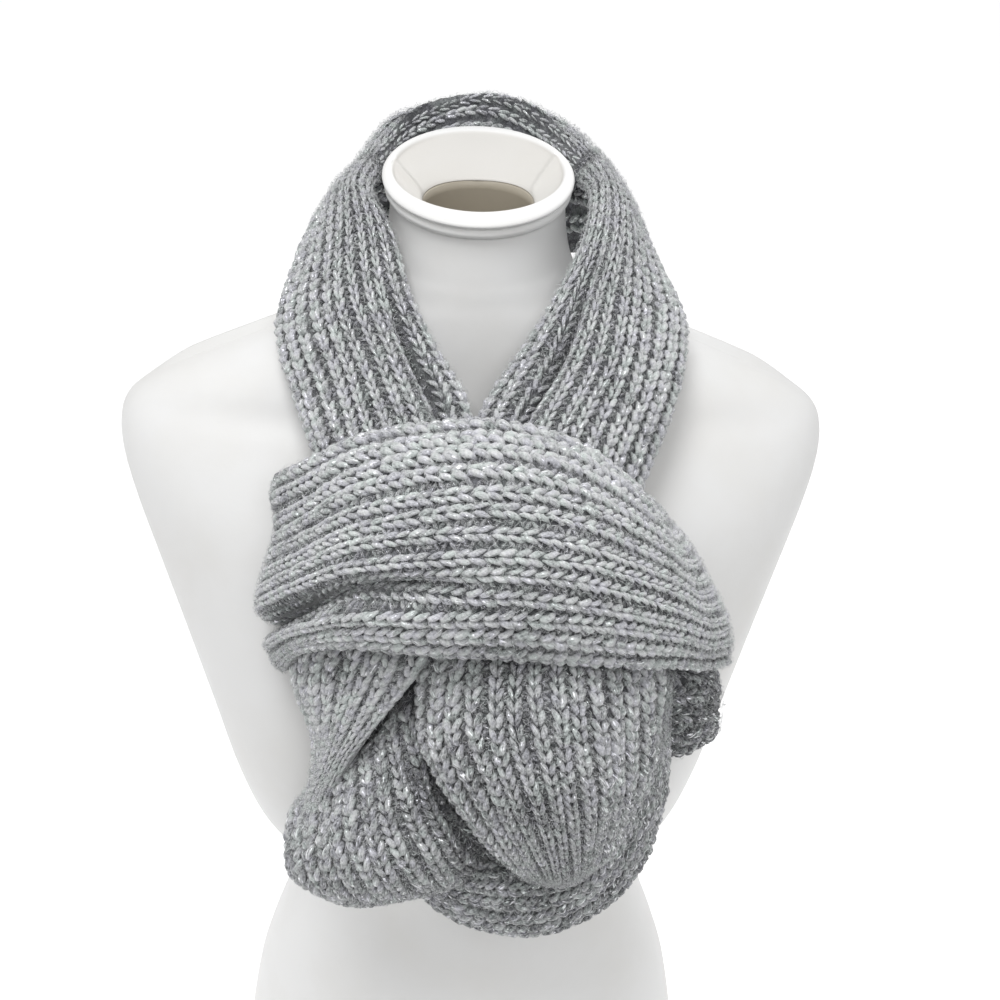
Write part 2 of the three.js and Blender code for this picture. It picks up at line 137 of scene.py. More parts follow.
def creaseShare(piece, u, v, start, end, wide):
    # 1 on the line from start to end and falling as a bell to its sides, softened towards both ends.
    width, length = piece["flat"]
    p = np.stack([u * width, v * length], -1)
    a = np.array([start[0] * width, start[1] * length])
    line = np.array([end[0] * width, end[1] * length]) - a
    share = np.clip(((p - a) @ line) / (line @ line), 0, 1)
    away = np.linalg.norm(p - a - share[..., None] * line, axis=-1)
    return np.exp(-((away / wide) ** 2)) * np.sin(np.pi * np.clip(share, 0.02, 0.98)) ** 0.6


def clothFrame(piece, u, v):
    # The point of the middle surface and the unit vector out of it, from differences over a small step.
    small = 1e-3
    point = basePoint(piece, u, v)
    across = basePoint(piece, u + small, v) - basePoint(piece, u - small, v)
    along = basePoint(piece, u, v + small) - basePoint(piece, u, v - small)
    normal = unit(np.cross(across, along))
    outward = np.sum(normal * (point - np.array(piece["facing"]) * mm), -1, keepdims=True)
    normal = normal * np.where(outward > 0, 1.0, -1.0)
    pitch = np.linalg.norm(across, axis=-1) / (2 * small) / piece["ribs"]
    return point, normal, pitch


def clothPoint(piece, u, v, out):
    # The middle surface moved outwards by out, less the inset.
    point, normal, pitch = clothFrame(piece, u, v)
    return point + normal * (out - inset(piece, u, v))[..., None], normal, pitch


def ribRelief(across):
    # A rounded crest in the middle of the rib and a channel at across = -0.5 and 0.5.
    return np.abs(np.cos(np.pi * across)) ** 1.2


# Meshes

def addMesh(name, points, faces, uvs=None, values=None, material=None, flip=False):
    # One mesh from whole arrays: points (n, 3), faces (m, corners), uvs (m, corners, 2) and named values, one
    # a point.
    points, corners = points.reshape(-1, 3), faces.shape[-1]
    if flip:
        faces = faces[:, ::-1]
        uvs = None if uvs is None else uvs[:, ::-1]
    mesh = bpy.data.meshes.new(name)
    mesh.vertices.add(len(points))
    mesh.vertices.foreach_set("co", points.astype(np.float32).ravel())
    mesh.loops.add(faces.size)
    mesh.loops.foreach_set("vertex_index", faces.astype(np.int32).ravel())
    mesh.polygons.add(len(faces))
    mesh.polygons.foreach_set("loop_start", np.arange(0, faces.size, corners, dtype=np.int32))
    mesh.update(calc_edges=True)
    if uvs is not None:
        mesh.uv_layers.new(name="yarn").data.foreach_set("uv", uvs.astype(np.float32).ravel())
    for key, array in (values or {}).items():
        mesh.attributes.new(key, "FLOAT", "POINT").data.foreach_set("value", array.astype(np.float32).ravel())
    mesh.shade_smooth()
    mesh.validate()
    piece = bpy.data.objects.new(name, mesh)
    bpy.context.scene.collection.objects.link(piece)
    if material is not None:
        mesh.materials.append(material)
    return piece


def gridQuads(rows, columns, closed=False):
    # Corner indices of a grid's faces. A closed grid runs round from its last column to its first.
    row = np.arange(rows - 1)[:, None]
    column = np.arange(columns if closed else columns - 1)[None, :]
    right = (column + 1) % columns
    a, b = row * columns + column, row * columns + right
    return np.stack([a, b, b + columns, a + columns], -1).reshape(-1, 4)


def enclosed(points, quads):
    # Six times the volume inside the faces, which is negative where they point inwards.
    a, b, c, d = (points[quads[:, i]] for i in range(4))
    return float(np.sum(a * np.cross(b, c)) + np.sum(a * np.cross(c, d)))


def clothWall(piece, material):
    # A closed wall: the ribbed outer grid, the inner grid under it and the four rims that join them.
    columns = knit["wallColumns"] * piece["ribs"] + 1
    rows = max(int(piece["flat"][1] / knit["wallStep"]), 8) + 1
    u, v = np.meshgrid(np.linspace(0, 1, columns), np.linspace(0, 1, rows))
    across = (u * piece["ribs"]) % 1 - 0.5
    half = knit["thickness"] / 2
    rise = knit["ribHeight"] * 0.55
    outer = clothPoint(piece, u, v, half - knit["sunk"] + rise * ribRelief(across))[0]
    inner = clothPoint(piece, u, v, -half - (rise * ribRelief(across + 0.5) if piece["inside"] else 0 * u))[0]
    points = np.concatenate([outer.reshape(-1, 3), inner.reshape(-1, 3)])
    count = rows * columns
    faces = gridQuads(rows, columns)
    edge = np.concatenate([
        np.arange(columns),
        np.arange(1, rows) * columns + columns - 1,
        (rows - 1) * columns + np.arange(columns - 2, -1, -1),
        np.arange(rows - 2, 0, -1) * columns,
    ])
    after = np.roll(edge, -1)
    rim = np.stack([after, edge, edge + count, after + count], -1)
    quads = np.concatenate([faces, faces[:, ::-1] + count, rim])
    flip = enclosed(points, quads) < 0
    # painted shade: the wall is dark in the channels between the ribs and on its inner face
    tone = np.repeat([piece["paintedChannelShade"], piece.get("paintedInsideShade", piece["paintedChannelShade"])], count)
    values = {"tone": tone, "glint": tone * 0}
    return addMesh(piece["name"] + "_cloth", points, quads, None, values, material, flip)


def tubes(centres, normals, radii, sides):
    # Closed tubes along paths (tube, ring, 3): a ring stands across the path at each centre, its points at
    # centre + radius * (cos(turn) * side + sin(turn) * up). Two or more flat faces close each end.
    tangent = unit(np.gradient(centres, axis=1))
    side = unit(np.cross(tangent, normals))
    up = np.cross(side, tangent)
    turn = 2 * np.pi * np.arange(sides) / sides
    ring = np.cos(turn)[:, None] * side[:, :, None, :] + np.sin(turn)[:, None] * up[:, :, None, :]
    points = centres[:, :, None, :] + radii[:, :, None, None] * ring
    count, rings = centres.shape[:2]
    wall = gridQuads(rings, sides, True)
    fan = np.array([[0, i, i + 1, i + 2] for i in range(1, sides - 2, 2)])
    last = (rings - 1) * sides
    quads = np.concatenate([wall, fan[:, ::-1], fan + last])
    ringAt, sideAt = np.divmod(np.arange((rings - 1) * sides), sides)
    corners = np.array([[0, 0], [1, 0], [1, 1], [0, 1]])
    about, onward = sideAt[:, None] + corners[:, 0], ringAt[:, None] + corners[:, 1]
    uvs = np.stack([about / sides, onward / (rings - 1)], -1)
    uvs = np.concatenate([uvs, np.full((2 * len(fan), 4, 2), 0.5)])
    quads = quads[None] + (np.arange(count) * rings * sides)[:, None, None]
    return points.reshape(-1, 3), quads.reshape(-1, 4), np.repeat(uvs[None], count, 0), rings * sides


def joinTubes(name, groups, material):
    # Several groups of tubes as one mesh, with a random tone and glint for each tube.
    points, quads, uvs, tones, glints, start = [], [], [], [], [], 0
    for centres, normals, radii, sides, tone, glint in groups:
        p, q, t, size = tubes(centres, normals, radii, sides)
        t[..., 1] += (np.arange(len(centres)) * 0.377 % 1)[:, None, None]
        points.append(p)
        quads.append(q + start)
        uvs.append(t.reshape(-1, 4, 2))
        tones.append(np.repeat(tone, size))
        glints.append(np.repeat(glint, size))
        start += len(p)
    points, quads, uvs = (np.concatenate(x) for x in (points, quads, uvs))
    flip = enclosed(points, quads) < 0
    values = {"tone": np.concatenate(tones), "glint": np.concatenate(glints)}
    return addMesh(name, points, quads, uvs, values, material, flip)


def stitchGroups(piece, chance):
    # Each rib is a chain of V stitches. A leg of a V leaves the middle of the rib at its point and swings out
    # to the rib's side, an S-curve across and a half sine in height; a short bar crosses each channel.
    groups = []
    sidesOf = [(1, 0.5)] + ([(-1, 1.0)] if piece.get("stitchedInside") else [])
    for face, shift in sidesOf:
        for rib in range(piece["ribs"] - (face < 0)):
            middle = (rib + shift) / piece["ribs"]
            fine = np.linspace(0, 1, knit["fineSteps"])
            line = basePoint(piece, 0 * fine + middle, fine)
            reach = np.concatenate([[0], np.cumsum(np.linalg.norm(np.diff(line, axis=0), axis=1))])
            pitch = knit["stitchPitch"] * piece.get("close", 1)
            count = int(reach[-1] / pitch) - 1
            if count < 1:
                continue
            start = (reach[-1] - count * pitch) * (0.35 + 0.3 * chance.random())
            place = start + pitch * np.arange(count)
            place = place + chance.normal(0, 0.04 * pitch, count)
            for side in (-1, 1):
                groups.append(legGroup(piece, rib + shift, side, place, fine, reach, face, chance))
            if rib < piece["ribs"] - 1 and face > 0:
                groups.append(barGroup(piece, rib + 1, place, fine, reach, chance))
    return groups


def paintedFoldShade(piece, u, v):
    # Painted shade: yarn is painted darker by its depth in a fold, over the darkest depth, and by the
    # stretch's painted shade along its length, most at its end.
    u, v = u.mean(1), v.mean(1)
    depth = np.clip(inset(piece, u, v) / knit["foldDepth"], 0, 1)
    return knit["paintedFoldShade"] * depth + piece.get("paintedShadeAlong", 0) * v


def legGroup(piece, ribAt, side, place, fine, reach, face, chance):
    # The legs on one side of a rib: u = rib + drift + side * swing, v from the place along the rib, and the
    # height from the rib's relief and the leg's own arch. A leg is thickest in its middle.
    count, rings = len(place), knit["rings"]
    t = np.linspace(0, 1, rings)[None, :]
    jitter = lambda spread: chance.normal(0, spread, (count, 1))
    (near, reachOut), (farSpread, nearSpread) = knit["swing"], knit["swingSpread"]
    swing = near + (reachOut + jitter(farSpread)) * smooth(t * 1.1 - 0.05)
    swing = swing * piece.get("spread", 1) + jitter(nearSpread)
    begin, long = knit["leg"]
    along = begin + long * t + jitter(0.04)
    if piece["point"] < 0:
        along = 1 - along
    v = np.interp(place[:, None] + along * knit["stitchPitch"] * piece.get("close", 1), reach, fine)
    drift = knit["drift"] * np.sin(v * 9 + ribAt * 2.1 + piece["seed"])
    u = (ribAt + drift + side * swing) / piece["ribs"]
    point, normal, pitch = clothPoint(piece, u, v, 0 * v)
    scale = np.clip(pitch / knit["ribPitch"], 0.5, 1.3)
    radius = knit["yarnRadius"] * scale * np.sin(np.pi * np.clip(t, 0.02, 0.98)) ** 0.45
    radius = radius * (1 + jitter(0.08) + chance.normal(0, knit["lumps"], (count, rings)))
    lift = knit["thickness"] / 2 + knit["ribHeight"] * (0.95 * ribRelief(side * swing) - 0.55) * scale
    lift = lift + knit["arch"] * scale * (np.sin(np.pi * t) ** 0.8 - (2 * np.abs(t - 0.5)) ** 4)
    lift = lift + jitter(0.00018)
    lift = lift + chance.normal(0, 0.00012, (count, rings))
    centres = point + normal * (face * lift)[..., None]
    # the stretch's tone is painted light and shade; the spread from leg to leg is random
    tone = chance.normal(piece.get("tone", knit["yarnTone"]), knit["toneSpread"], count)
    # painted shade in the folds and along the stretch
    tone = tone - paintedFoldShade(piece, u, v)
    return centres, normal * face, radius, knit["sides"], np.clip(tone, 0, 1), chance.random(count)


def barGroup(piece, ribAt, place, fine, reach, chance):
    # Low strands across the channel at the whole rib number ribAt, two to a stitch, aslant in turn.
    place = np.sort(np.concatenate([place, place + 0.5 * knit["stitchPitch"] * piece.get("close", 1)]))
    count = len(place)
    t = np.linspace(0, 1, 3)[None, :]
    across = (t - 0.5) * knit["barWidth"]
    slant = np.where(np.arange(count) % 2, knit["barSlant"], -knit["barSlant"])[:, None]
    along = 0.5 + slant * (t - 0.5) + chance.normal(0, 0.07, (count, 1))
    v = np.interp(place[:, None] + along * knit["stitchPitch"] * piece.get("close", 1), reach, fine)
    u = (ribAt + across) / piece["ribs"] + 0 * v
    point, normal, pitch = clothPoint(piece, u, v, 0 * v)
    scale = np.clip(pitch / knit["ribPitch"], 0.5, 1.3)
    lift = knit["thickness"] / 2 - knit["sunk"] + 0.0004 + 0.0005 * np.sin(np.pi * t) + 0 * v
    centres = point + normal * lift[..., None]
    radius = knit["yarnRadius"] * knit["barRadius"] * scale * np.sin(np.pi * np.clip(t, 0.08, 0.92)) ** 0.35
    # painted shade: the bars take the channel's dark tone, a little lighter, less the painted shade of the
    # fold
    tone = chance.normal(piece["paintedChannelShade"] + knit["barTone"], 0.10, count) - paintedFoldShade(piece, u, v)
    return centres, normal, radius, 4, np.clip(tone, 0, 1), chance.random(count) * 0.9


def makeFibres(piece, chance, material):
    # The halo: fine closed hairs with a triangle at the middle of their length and a point at each end. A hair
    # runs along its way, from half its length behind its base to half before it, bowed sideways by 4s(1 - s),
    # and rises out of the stitches to its top and down again.
    width, length = piece["flat"]
    count = int(width * length * knit["fibresPerArea"])
    u, v = chance.random((2, count))
    base, normal, _ = clothPoint(piece, u, v, 0 * u)
    ahead = unit(clothPoint(piece, u, v + 0.002, 0 * u)[0] - base)
    aside = np.cross(normal, ahead)
    turn = chance.normal(0, knit["fibreTurn"], count)[:, None]
    way = np.cos(turn) * ahead + np.sin(turn) * aside
    long = knit["fibreLength"] * chance.uniform(0.5, 1.3, count)[:, None]
    top = chance.uniform(*knit["fibreTop"], count)[:, None]
    bend = np.cross(normal, way) * chance.normal(0, 0.12, count)[:, None]
    share = np.array([0, 0.5, 1])
    rise = np.array([0.45, 1.0, 0.72])
    path = [base + long * ((s - 0.5) * way + 4 * s * (1 - s) * bend) + normal * top * r
            for s, r in zip(share, rise)]
    wide = knit["fibreRadius"] * chance.uniform(0.6, 1.3, count)[:, None]
    ring = []
    for corner in range(3):
        angle = 2 * math.pi * corner / 3
        ring.append(path[1] + wide * (math.cos(angle) * np.cross(normal, way) + math.sin(angle) * normal))
    points = np.stack([path[0], *ring, path[2]], 1)
    faces = np.array([[0, 2, 1], [0, 3, 2], [0, 1, 3], [4, 1, 2], [4, 2, 3], [4, 3, 1]])
    faces = (faces[None] + 5 * np.arange(count)[:, None, None]).reshape(-1, 3)
    tone = np.repeat(chance.uniform(*knit["fibreTones"], count), 5)
    glint = np.repeat(chance.random(count), 5)
    a, b, c = (points.reshape(-1, 3)[faces[:, i]] for i in range(3))
    flip = float(np.sum(a * np.cross(b, c))) < 0
    values = {"tone": tone, "glint": glint}
    return addMesh(piece["name"] + "_fibres", points, faces, None, values, material, flip)


# Materials

def nodeMaterial(name):
    material = bpy.data.materials.new(name)
    material.use_nodes = True
    nodes = material.node_tree.nodes
    return material, nodes, material.node_tree.links, nodes["Principled BSDF"]


def noise(nodes, links, coords, scale, detail=3.0, roughness=0.55):
    made = nodes.new("ShaderNodeTexNoise")
    made.inputs["Scale"].default_value = scale
    made.inputs["Detail"].default_value = detail
    made.inputs["Roughness"].default_value = roughness
    links.new(coords, made.inputs["Vector"])
    return made


def maths(nodes, links, operation, first, second=None, third=None):
    made = nodes.new("ShaderNodeMath")
    made.operation = operation
    for i, value in enumerate((first, second, third)):
        if value is None:
            continue
        if isinstance(value, (int, float)):
            made.inputs[i].default_value = value
        else:
            links.new(value, made.inputs[i])
    return made.outputs[0]


def ramp(nodes, links, factor, stops):
    made = nodes.new("ShaderNodeValToRGB")
    while len(made.color_ramp.elements) < len(stops):
        made.color_ramp.elements.new(0.5)
    for element, (position, color) in zip(made.color_ramp.elements, stops):
        element.position = position
        element.color = (*color, 1)
    links.new(factor, made.inputs["Fac"])
    return made.outputs["Color"]


yarnLook = {
    # yarn colors, each with its place on the ramp: the darkest serve for the painted shade in the channels and
    # folds, the rest for the yarn's own greys
    "tones": [
        (0.0, (0.045, 0.047, 0.052)), (0.22, (0.19, 0.196, 0.204)), (0.5, (0.54, 0.552, 0.56)),
        (0.8, (0.74, 0.75, 0.755)), (1.0, (0.84, 0.85, 0.85)),
    ],
    "silver": (0.95, 0.96, 0.98),
    "boldShare": 0.89,         # stitches whose random glint is above this show the silver thread boldly
    "dashShare": 0.62,         # noise above this is a dash of it on any stitch
    "plies": 2,
    "twist": 2.6,              # turns of the plies along a leg
    # how much of each goes into the tone: wide clouds, patches, grain, streaks along the yarn and the plies
    "slow": 0.35, "patch": 0.6, "fine": 0.75, "streaks": 1.1, "ply": 0.05,
    "balance": 1.38,           # what is taken off their sum
    "sheen": (0.5, 0.6),       # its weight and roughness
    "bump": (0.6, 0.0006),     # its strength and depth
}


def yarnMaterial():
    # Soft grey plied yarn: tone by stitch and by slow noise, and twist lines from the yarn's own UV. The
    # silver thread shows as bright dashes along the yarn: noise over the UV, with each stitch's own number as
    # depth.
    material, nodes, links, shader = nodeMaterial("yarn_grey_silver")
    coords = nodes.new("ShaderNodeTexCoord")
    tone = nodes.new("ShaderNodeAttribute")
    tone.attribute_name = "tone"
    glint = nodes.new("ShaderNodeAttribute")
    glint.attribute_name = "glint"
    slow = noise(nodes, links, coords.outputs["Object"], 26, 2)
    fine = noise(nodes, links, coords.outputs["Object"], 1100, 3, 0.7)
    uv = nodes.new("ShaderNodeSeparateXYZ")
    links.new(coords.outputs["UV"], uv.inputs[0])
    twist = maths(nodes, links, "MULTIPLY_ADD", uv.outputs["Y"], yarnLook["twist"], uv.outputs["X"])
    wave = maths(nodes, links, "MULTIPLY", twist, 2 * math.pi * yarnLook["plies"])
    wave = maths(nodes, links, "SINE", wave)
    own = nodes.new("ShaderNodeCombineXYZ")
    links.new(maths(nodes, links, "MULTIPLY", uv.outputs["X"], 5.0), own.inputs["X"])
    links.new(maths(nodes, links, "MULTIPLY", uv.outputs["Y"], 1.4), own.inputs["Y"])
    links.new(maths(nodes, links, "MULTIPLY", glint.outputs["Fac"], 60), own.inputs["Z"])
    streaks = noise(nodes, links, own.outputs["Vector"], 2.6, 3, 0.65)
    patch = noise(nodes, links, coords.outputs["Object"], 300, 2, 0.6)
    mixed = maths(nodes, links, "MULTIPLY_ADD", slow.outputs["Fac"], yarnLook["slow"], tone.outputs["Fac"])
    mixed = maths(nodes, links, "MULTIPLY_ADD", patch.outputs["Fac"], yarnLook["patch"], mixed)
    mixed = maths(nodes, links, "MULTIPLY_ADD", fine.outputs["Fac"], yarnLook["fine"], mixed)
    mixed = maths(nodes, links, "MULTIPLY_ADD", streaks.outputs["Fac"], yarnLook["streaks"], mixed)
    mixed = maths(nodes, links, "MULTIPLY_ADD", wave, yarnLook["ply"], mixed)
    mixed = maths(nodes, links, "SUBTRACT", mixed, yarnLook["balance"])
    gray = ramp(nodes, links, mixed, yarnLook["tones"])
    hue = noise(nodes, links, coords.outputs["Object"], 130, 1)
    tint = ramp(nodes, links, hue.outputs["Fac"], [
        (0.36, (0.95, 1.0, 0.97)), (0.5, (1, 1, 1)), (0.64, (0.955, 0.945, 1.0))])
    # where the silver thread shows
    dashes = noise(nodes, links, own.outputs["Vector"], 2.1, 1)
    bold = maths(nodes, links, "GREATER_THAN", glint.outputs["Fac"], yarnLook["boldShare"])
    height = maths(nodes, links, "MULTIPLY_ADD", bold, 0.07, dashes.outputs["Fac"])
    height = maths(nodes, links, "SUBTRACT", height, yarnLook["dashShare"])
    silver = maths(nodes, links, "MULTIPLY", height, 22)
    silver = maths(nodes, links, "MINIMUM", maths(nodes, links, "MAXIMUM", silver, 0), 1)
    color = nodes.new("ShaderNodeMix")
    color.data_type = "RGBA"
    links.new(silver, color.inputs["Factor"])
    links.new(gray, color.inputs["A"])
    color.inputs["B"].default_value = (*yarnLook["silver"], 1)
    tinted = nodes.new("ShaderNodeMix")
    tinted.data_type = "RGBA"
    tinted.blend_type = "MULTIPLY"
    tinted.inputs["Factor"].default_value = 1
    links.new(color.outputs["Result"], tinted.inputs["A"])
    links.new(tint, tinted.inputs["B"])
    links.new(tinted.outputs["Result"], shader.inputs["Base Color"])
    links.new(maths(nodes, links, "MULTIPLY", silver, 0.8), shader.inputs["Metallic"])
    links.new(maths(nodes, links, "MULTIPLY_ADD", silver, -0.55, 0.88), shader.inputs["Roughness"])
    shader.inputs["Sheen Weight"].default_value = yarnLook["sheen"][0]
    shader.inputs["Sheen Roughness"].default_value = yarnLook["sheen"][1]
    shader.inputs["Specular IOR Level"].default_value = 0.3
    relief = maths(nodes, links, "MULTIPLY_ADD", wave, 0.35, fine.outputs["Fac"])
    bump = nodes.new("ShaderNodeBump")
    bump.inputs["Strength"].default_value = yarnLook["bump"][0]
    bump.inputs["Distance"].default_value = yarnLook["bump"][1]
    links.new(relief, bump.inputs["Height"])
    links.new(bump.outputs["Normal"], shader.inputs["Normal"])
    return material


formLook = {
    "white": (0.86, 0.86, 0.855),
    "warm": (0.83, 0.825, 0.81),
    # painted shade: the beige of the neck's inside stands for the white plastic in the hole's shade
    "inside": (0.42, 0.38, 0.31),
}


def plasticMaterial():
    # Moulded white plastic, faintly mottled and a little orange-peeled; the inside of the neck is painted
    # beige as the shade in the hole.
    material, nodes, links, shader = nodeMaterial("form_white_plastic")
    coords = nodes.new("ShaderNodeTexCoord")
    inside = nodes.new("ShaderNodeAttribute")
    inside.attribute_name = "inside"
    mottle = noise(nodes, links, coords.outputs["Object"], 14, 4)
    outer = ramp(nodes, links, mottle.outputs["Fac"], [(0.35, formLook["warm"]), (0.6, formLook["white"])])
    color = nodes.new("ShaderNodeMix")
    color.data_type = "RGBA"
    links.new(inside.outputs["Fac"], color.inputs["Factor"])
    links.new(outer, color.inputs["A"])
    color.inputs["B"].default_value = (*formLook["inside"], 1)
    links.new(color.outputs["Result"], shader.inputs["Base Color"])
    grain = noise(nodes, links, coords.outputs["Object"], 120, 2)
    roughness = maths(nodes, links, "MULTIPLY_ADD", grain.outputs["Fac"], 0.16, 0.34)
    links.new(roughness, shader.inputs["Roughness"])
    shader.inputs["Specular IOR Level"].default_value = 0.35
    bump = nodes.new("ShaderNodeBump")
    bump.inputs["Strength"].default_value = 0.12
    bump.inputs["Distance"].default_value = 0.0008
    links.new(grain.outputs["Fac"], bump.inputs["Height"])
    links.new(bump.outputs["Normal"], shader.inputs["Normal"])
    return material


# The dress form

formShape = {
    "sides": 160,
    "rows": 180,
    "ledge": 0.0045,           # the back half stands this far over the front half along the shoulders
    # height, middle in y, half width, half depth, squareness and forward lean in degrees
    "sections": [
        (0, 9, 143, 98, 2.3, 0), (10, 9, 148, 103, 2.3, 0), (60, 9, 149, 105, 2.3, 0),
        (120, 6, 140, 98, 2.2, 0), (155, 4, 130, 91, 2.2, 0), (186, 2, 119, 84, 2.2, 0),
        (222, 0, 108, 78, 2.2, 0), (246, -2, 115, 81, 2.2, 0), (270, -3, 133, 87, 2.2, 0),
        (305, -3, 146, 95, 2.2, 0), (350, -1, 158, 102, 2.2, 0), (400, 3, 173, 100, 2.2, 0),
        (444, 9, 187, 94, 2.3, 0), (476, 13, 197, 86, 2.4, 0), (500, 16, 203, 75, 2.5, 0),
        (518, 18, 204, 65, 2.5, 0), (531, 19, 199, 57, 2.4, 0), (543, 19, 181, 54.6, 2.3, 0),
        (555, 19, 154, 53, 2.2, 0), (567, 19, 124, 52, 2.1, 0), (578, 19.5, 97, 51.8, 2.0, 0),
        (589, 20, 74, 51.6, 2.0, 0), (600, 20, 61, 51.2, 2.0, 4), (612, 20, 54, 51.5, 2.0, 9),
        (622, 21.5, 51, 53.5, 2.0, 13), (637, 22.5, 49, 55, 2.0, 15), (649.2, 21, 48.5, 54.5, 2.0, 16),
    ],
}

# Rings round the flange's leaning axis: depth under its top face, shift to the back, half width, half depth
# and squareness.
flangeShape = {
    "sides": 128,
    "outsideRows": 60,
    "funnelRows": 50,
    "shade": 0.36,             # painted shade: how far the funnel's color goes towards the beige of the inside, deeper down
    "ridges": (0.34, 3.02),    # where round the funnel its soft creases run, as angles
    "ridge": 0.0022,           # their height, and their width as an angle
    "ridgeWidth": 0.09,
    "centre": (0, 18, 659.5),
    "tilt": 16,                # degrees
    "well": [(10.75, -15.5, 30.5, 26, 2.0), (64, -15, 29, 24.5, 2.0)],
    "outside": [
        (10.4, 0, 48.5, 54.5, 2.0), (9.9, 0, 50, 56, 2.0), (9.2, 0, 51, 57, 2.0), (7.2, 0, 51.7, 57.7, 2.0),
        (5.4, 0, 51, 57, 2.0), (4.6, 0, 50.2, 56.2, 2.0), (4.0, 0, 50.4, 56.4, 2.0), (3.2, 0, 52, 58, 2.0),
        (1.8, 0, 52.8, 59, 2.0), (0.6, 0, 52.3, 58.5, 2.0), (0, 0, 51, 57.2, 2.0),
    ],
    "funnel": [
        (0, 1, 50.2, 55.2, 2.0), (0.2, 3, 48.8, 51.4, 2.0), (0.6, 4.3, 47.6, 48.7, 2.0),
        (1.2, 4.6, 46.8, 47.4, 2.0), (2.2, 3.2, 45.6, 45.3, 2.1), (4, -2.2, 41.5, 39.8, 2.2),
        (6, -8.3, 36.6, 33.7, 2.4), (8, -13.4, 32.4, 28.2, 2.6), (9.2, -15.2, 30.8, 26.4, 2.6),
        (10.4, -15.5, 30.4, 25.8, 2.4),
    ],
}


def levelRings(rows, sides):
    # A superellipse for each row: half width * sign(cos) * |cos|^(2/square) across, the same with sin along,
    # turned by the row's lean about the x axis.
    z, y, wide, deep, square, lean = (rows[:, i, None] for i in range(6))
    turn = 2 * np.pi * np.arange(sides)[None, :] / sides
    bow = lambda value: np.sign(value) * np.abs(value) ** (2 / square)
    across, along, lean = wide * bow(np.cos(turn)), deep * bow(np.sin(turn)), np.radians(lean)
    return np.stack([across, y + along * np.cos(lean), z + along * np.sin(lean)], -1) * mm


def flangeRows(rows):
    # The same rows as heights and middles in the part's frame, down the leaning axis and back along the face.
    rows, tilt = np.array(rows, float), math.radians(flangeShape["tilt"])
    down, back, wide, deep, square = rows.T
    y = flangeShape["centre"][1] + down * math.sin(tilt) + back * math.cos(tilt)
    z = flangeShape["centre"][2] - down * math.cos(tilt) + back * math.sin(tilt)
    return np.stack([z, y, wide, deep, square, np.full(len(rows), flangeShape["tilt"])], -1)


def alongRows(rows, count):
    # Catmull-Rom through a table's rows at even shares of its length.
    rows = np.array(rows, float)
    padded = padEnds(rows)
    first, part = findSpan(np.linspace(0, len(rows) - 1, count), len(rows))
    return curveThrough(*(padded[first + i] for i in range(4)), part)


def closedStack(rows, sides):
    # Faces of a stack of rings, with flat faces across the first and the last ring, from its first point out.
    i = np.arange(1, sides - 2, 2)
    fan = np.stack([0 * i, i, i + 1, i + 2], -1)
    return np.concatenate([gridQuads(rows, sides, True), fan[:, ::-1], fan + (rows - 1) * sides])


def makeTorso(material):
    # Level rings from the base up to the neck, then over its rim and down the well.
    rings = levelRings(alongRows(formShape["sections"], formShape["rows"]), formShape["sides"])
    # the ledge: points behind the shoulder line move out, most in the middle of the shoulder
    x, y, z = rings[..., 0], rings[..., 1], rings[..., 2]
    along = smooth((np.abs(x) - 0.075) / 0.02) * (1 - smooth((np.abs(x) - 0.160) / 0.035))
    behind = smooth((y - 0.0205) / 0.0012) * (1 - smooth((y - 0.030) / 0.03)) * smooth((z - 0.515) / 0.02)
    rings[..., 2] = z + formShape["ledge"] * along * behind
    # the well: straight down from its mouth to its floor, and a flat lip with a crisp edge on both sides
    well = levelRings(flangeRows(flangeShape["well"]), formShape["sides"])
    steps = np.linspace(0, 1, 12)[:, None, None]
    inner = well[:1] + (well[1:] - well[:1]) * steps
    lip = rings[-1:] + (inner[:1] - rings[-1:]) * np.array([0.02, 0.98])[:, None, None]
    stack = np.concatenate([rings, lip, inner])
    sides = formShape["sides"]
    quads = closedStack(len(stack), sides)
    points = stack.reshape(-1, 3)
    # painted shade: the well below the lip is painted beige
    inside = np.repeat((np.arange(len(stack)) >= len(rings) + 1).astype(float), sides)
    flip = enclosed(points, quads) < 0
    piece = addMesh("form_body", points, quads, None, {"inside": inside}, material, flip)
    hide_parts("form_torso")
    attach(piece, "root")
    return piece


def makeFlange(material):
    # Leaning rings up the outside, over the rim and down the funnel, where the last ring joins the first.
    outside = alongRows(flangeRows(flangeShape["outside"]), flangeShape["outsideRows"])
    funnel = alongRows(flangeRows(flangeShape["funnel"]), flangeShape["funnelRows"])
    sides = flangeShape["sides"]
    rings = levelRings(np.concatenate([outside, funnel]), sides)
    inFunnel = np.arange(len(rings)) - flangeShape["outsideRows"]
    # soft creases run down the funnel, highest half way
    turn = 2 * np.pi * np.arange(sides) / sides
    down = np.sin(np.pi * np.clip((inFunnel - 6) / 40, 0, 1))
    for at in flangeShape["ridges"]:
        away = (turn - at) / flangeShape["ridgeWidth"]
        rings[..., 2] += flangeShape["ridge"] * down[:, None] * np.exp(-(away**2))
    quads = gridQuads(len(rings) + 1, sides, True) % (len(rings) * sides)
    points = rings.reshape(-1, 3)
    # painted shade: the funnel turns towards the beige further down
    inside = np.repeat(flangeShape["shade"] * smooth((inFunnel - 8) / 12), sides)
    flip = enclosed(points, quads) < 0
    piece = addMesh("form_neck_flange", points, quads, None, {"inside": inside}, material, flip)
    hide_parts("form_flange")
    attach(piece, "root")
    return piece


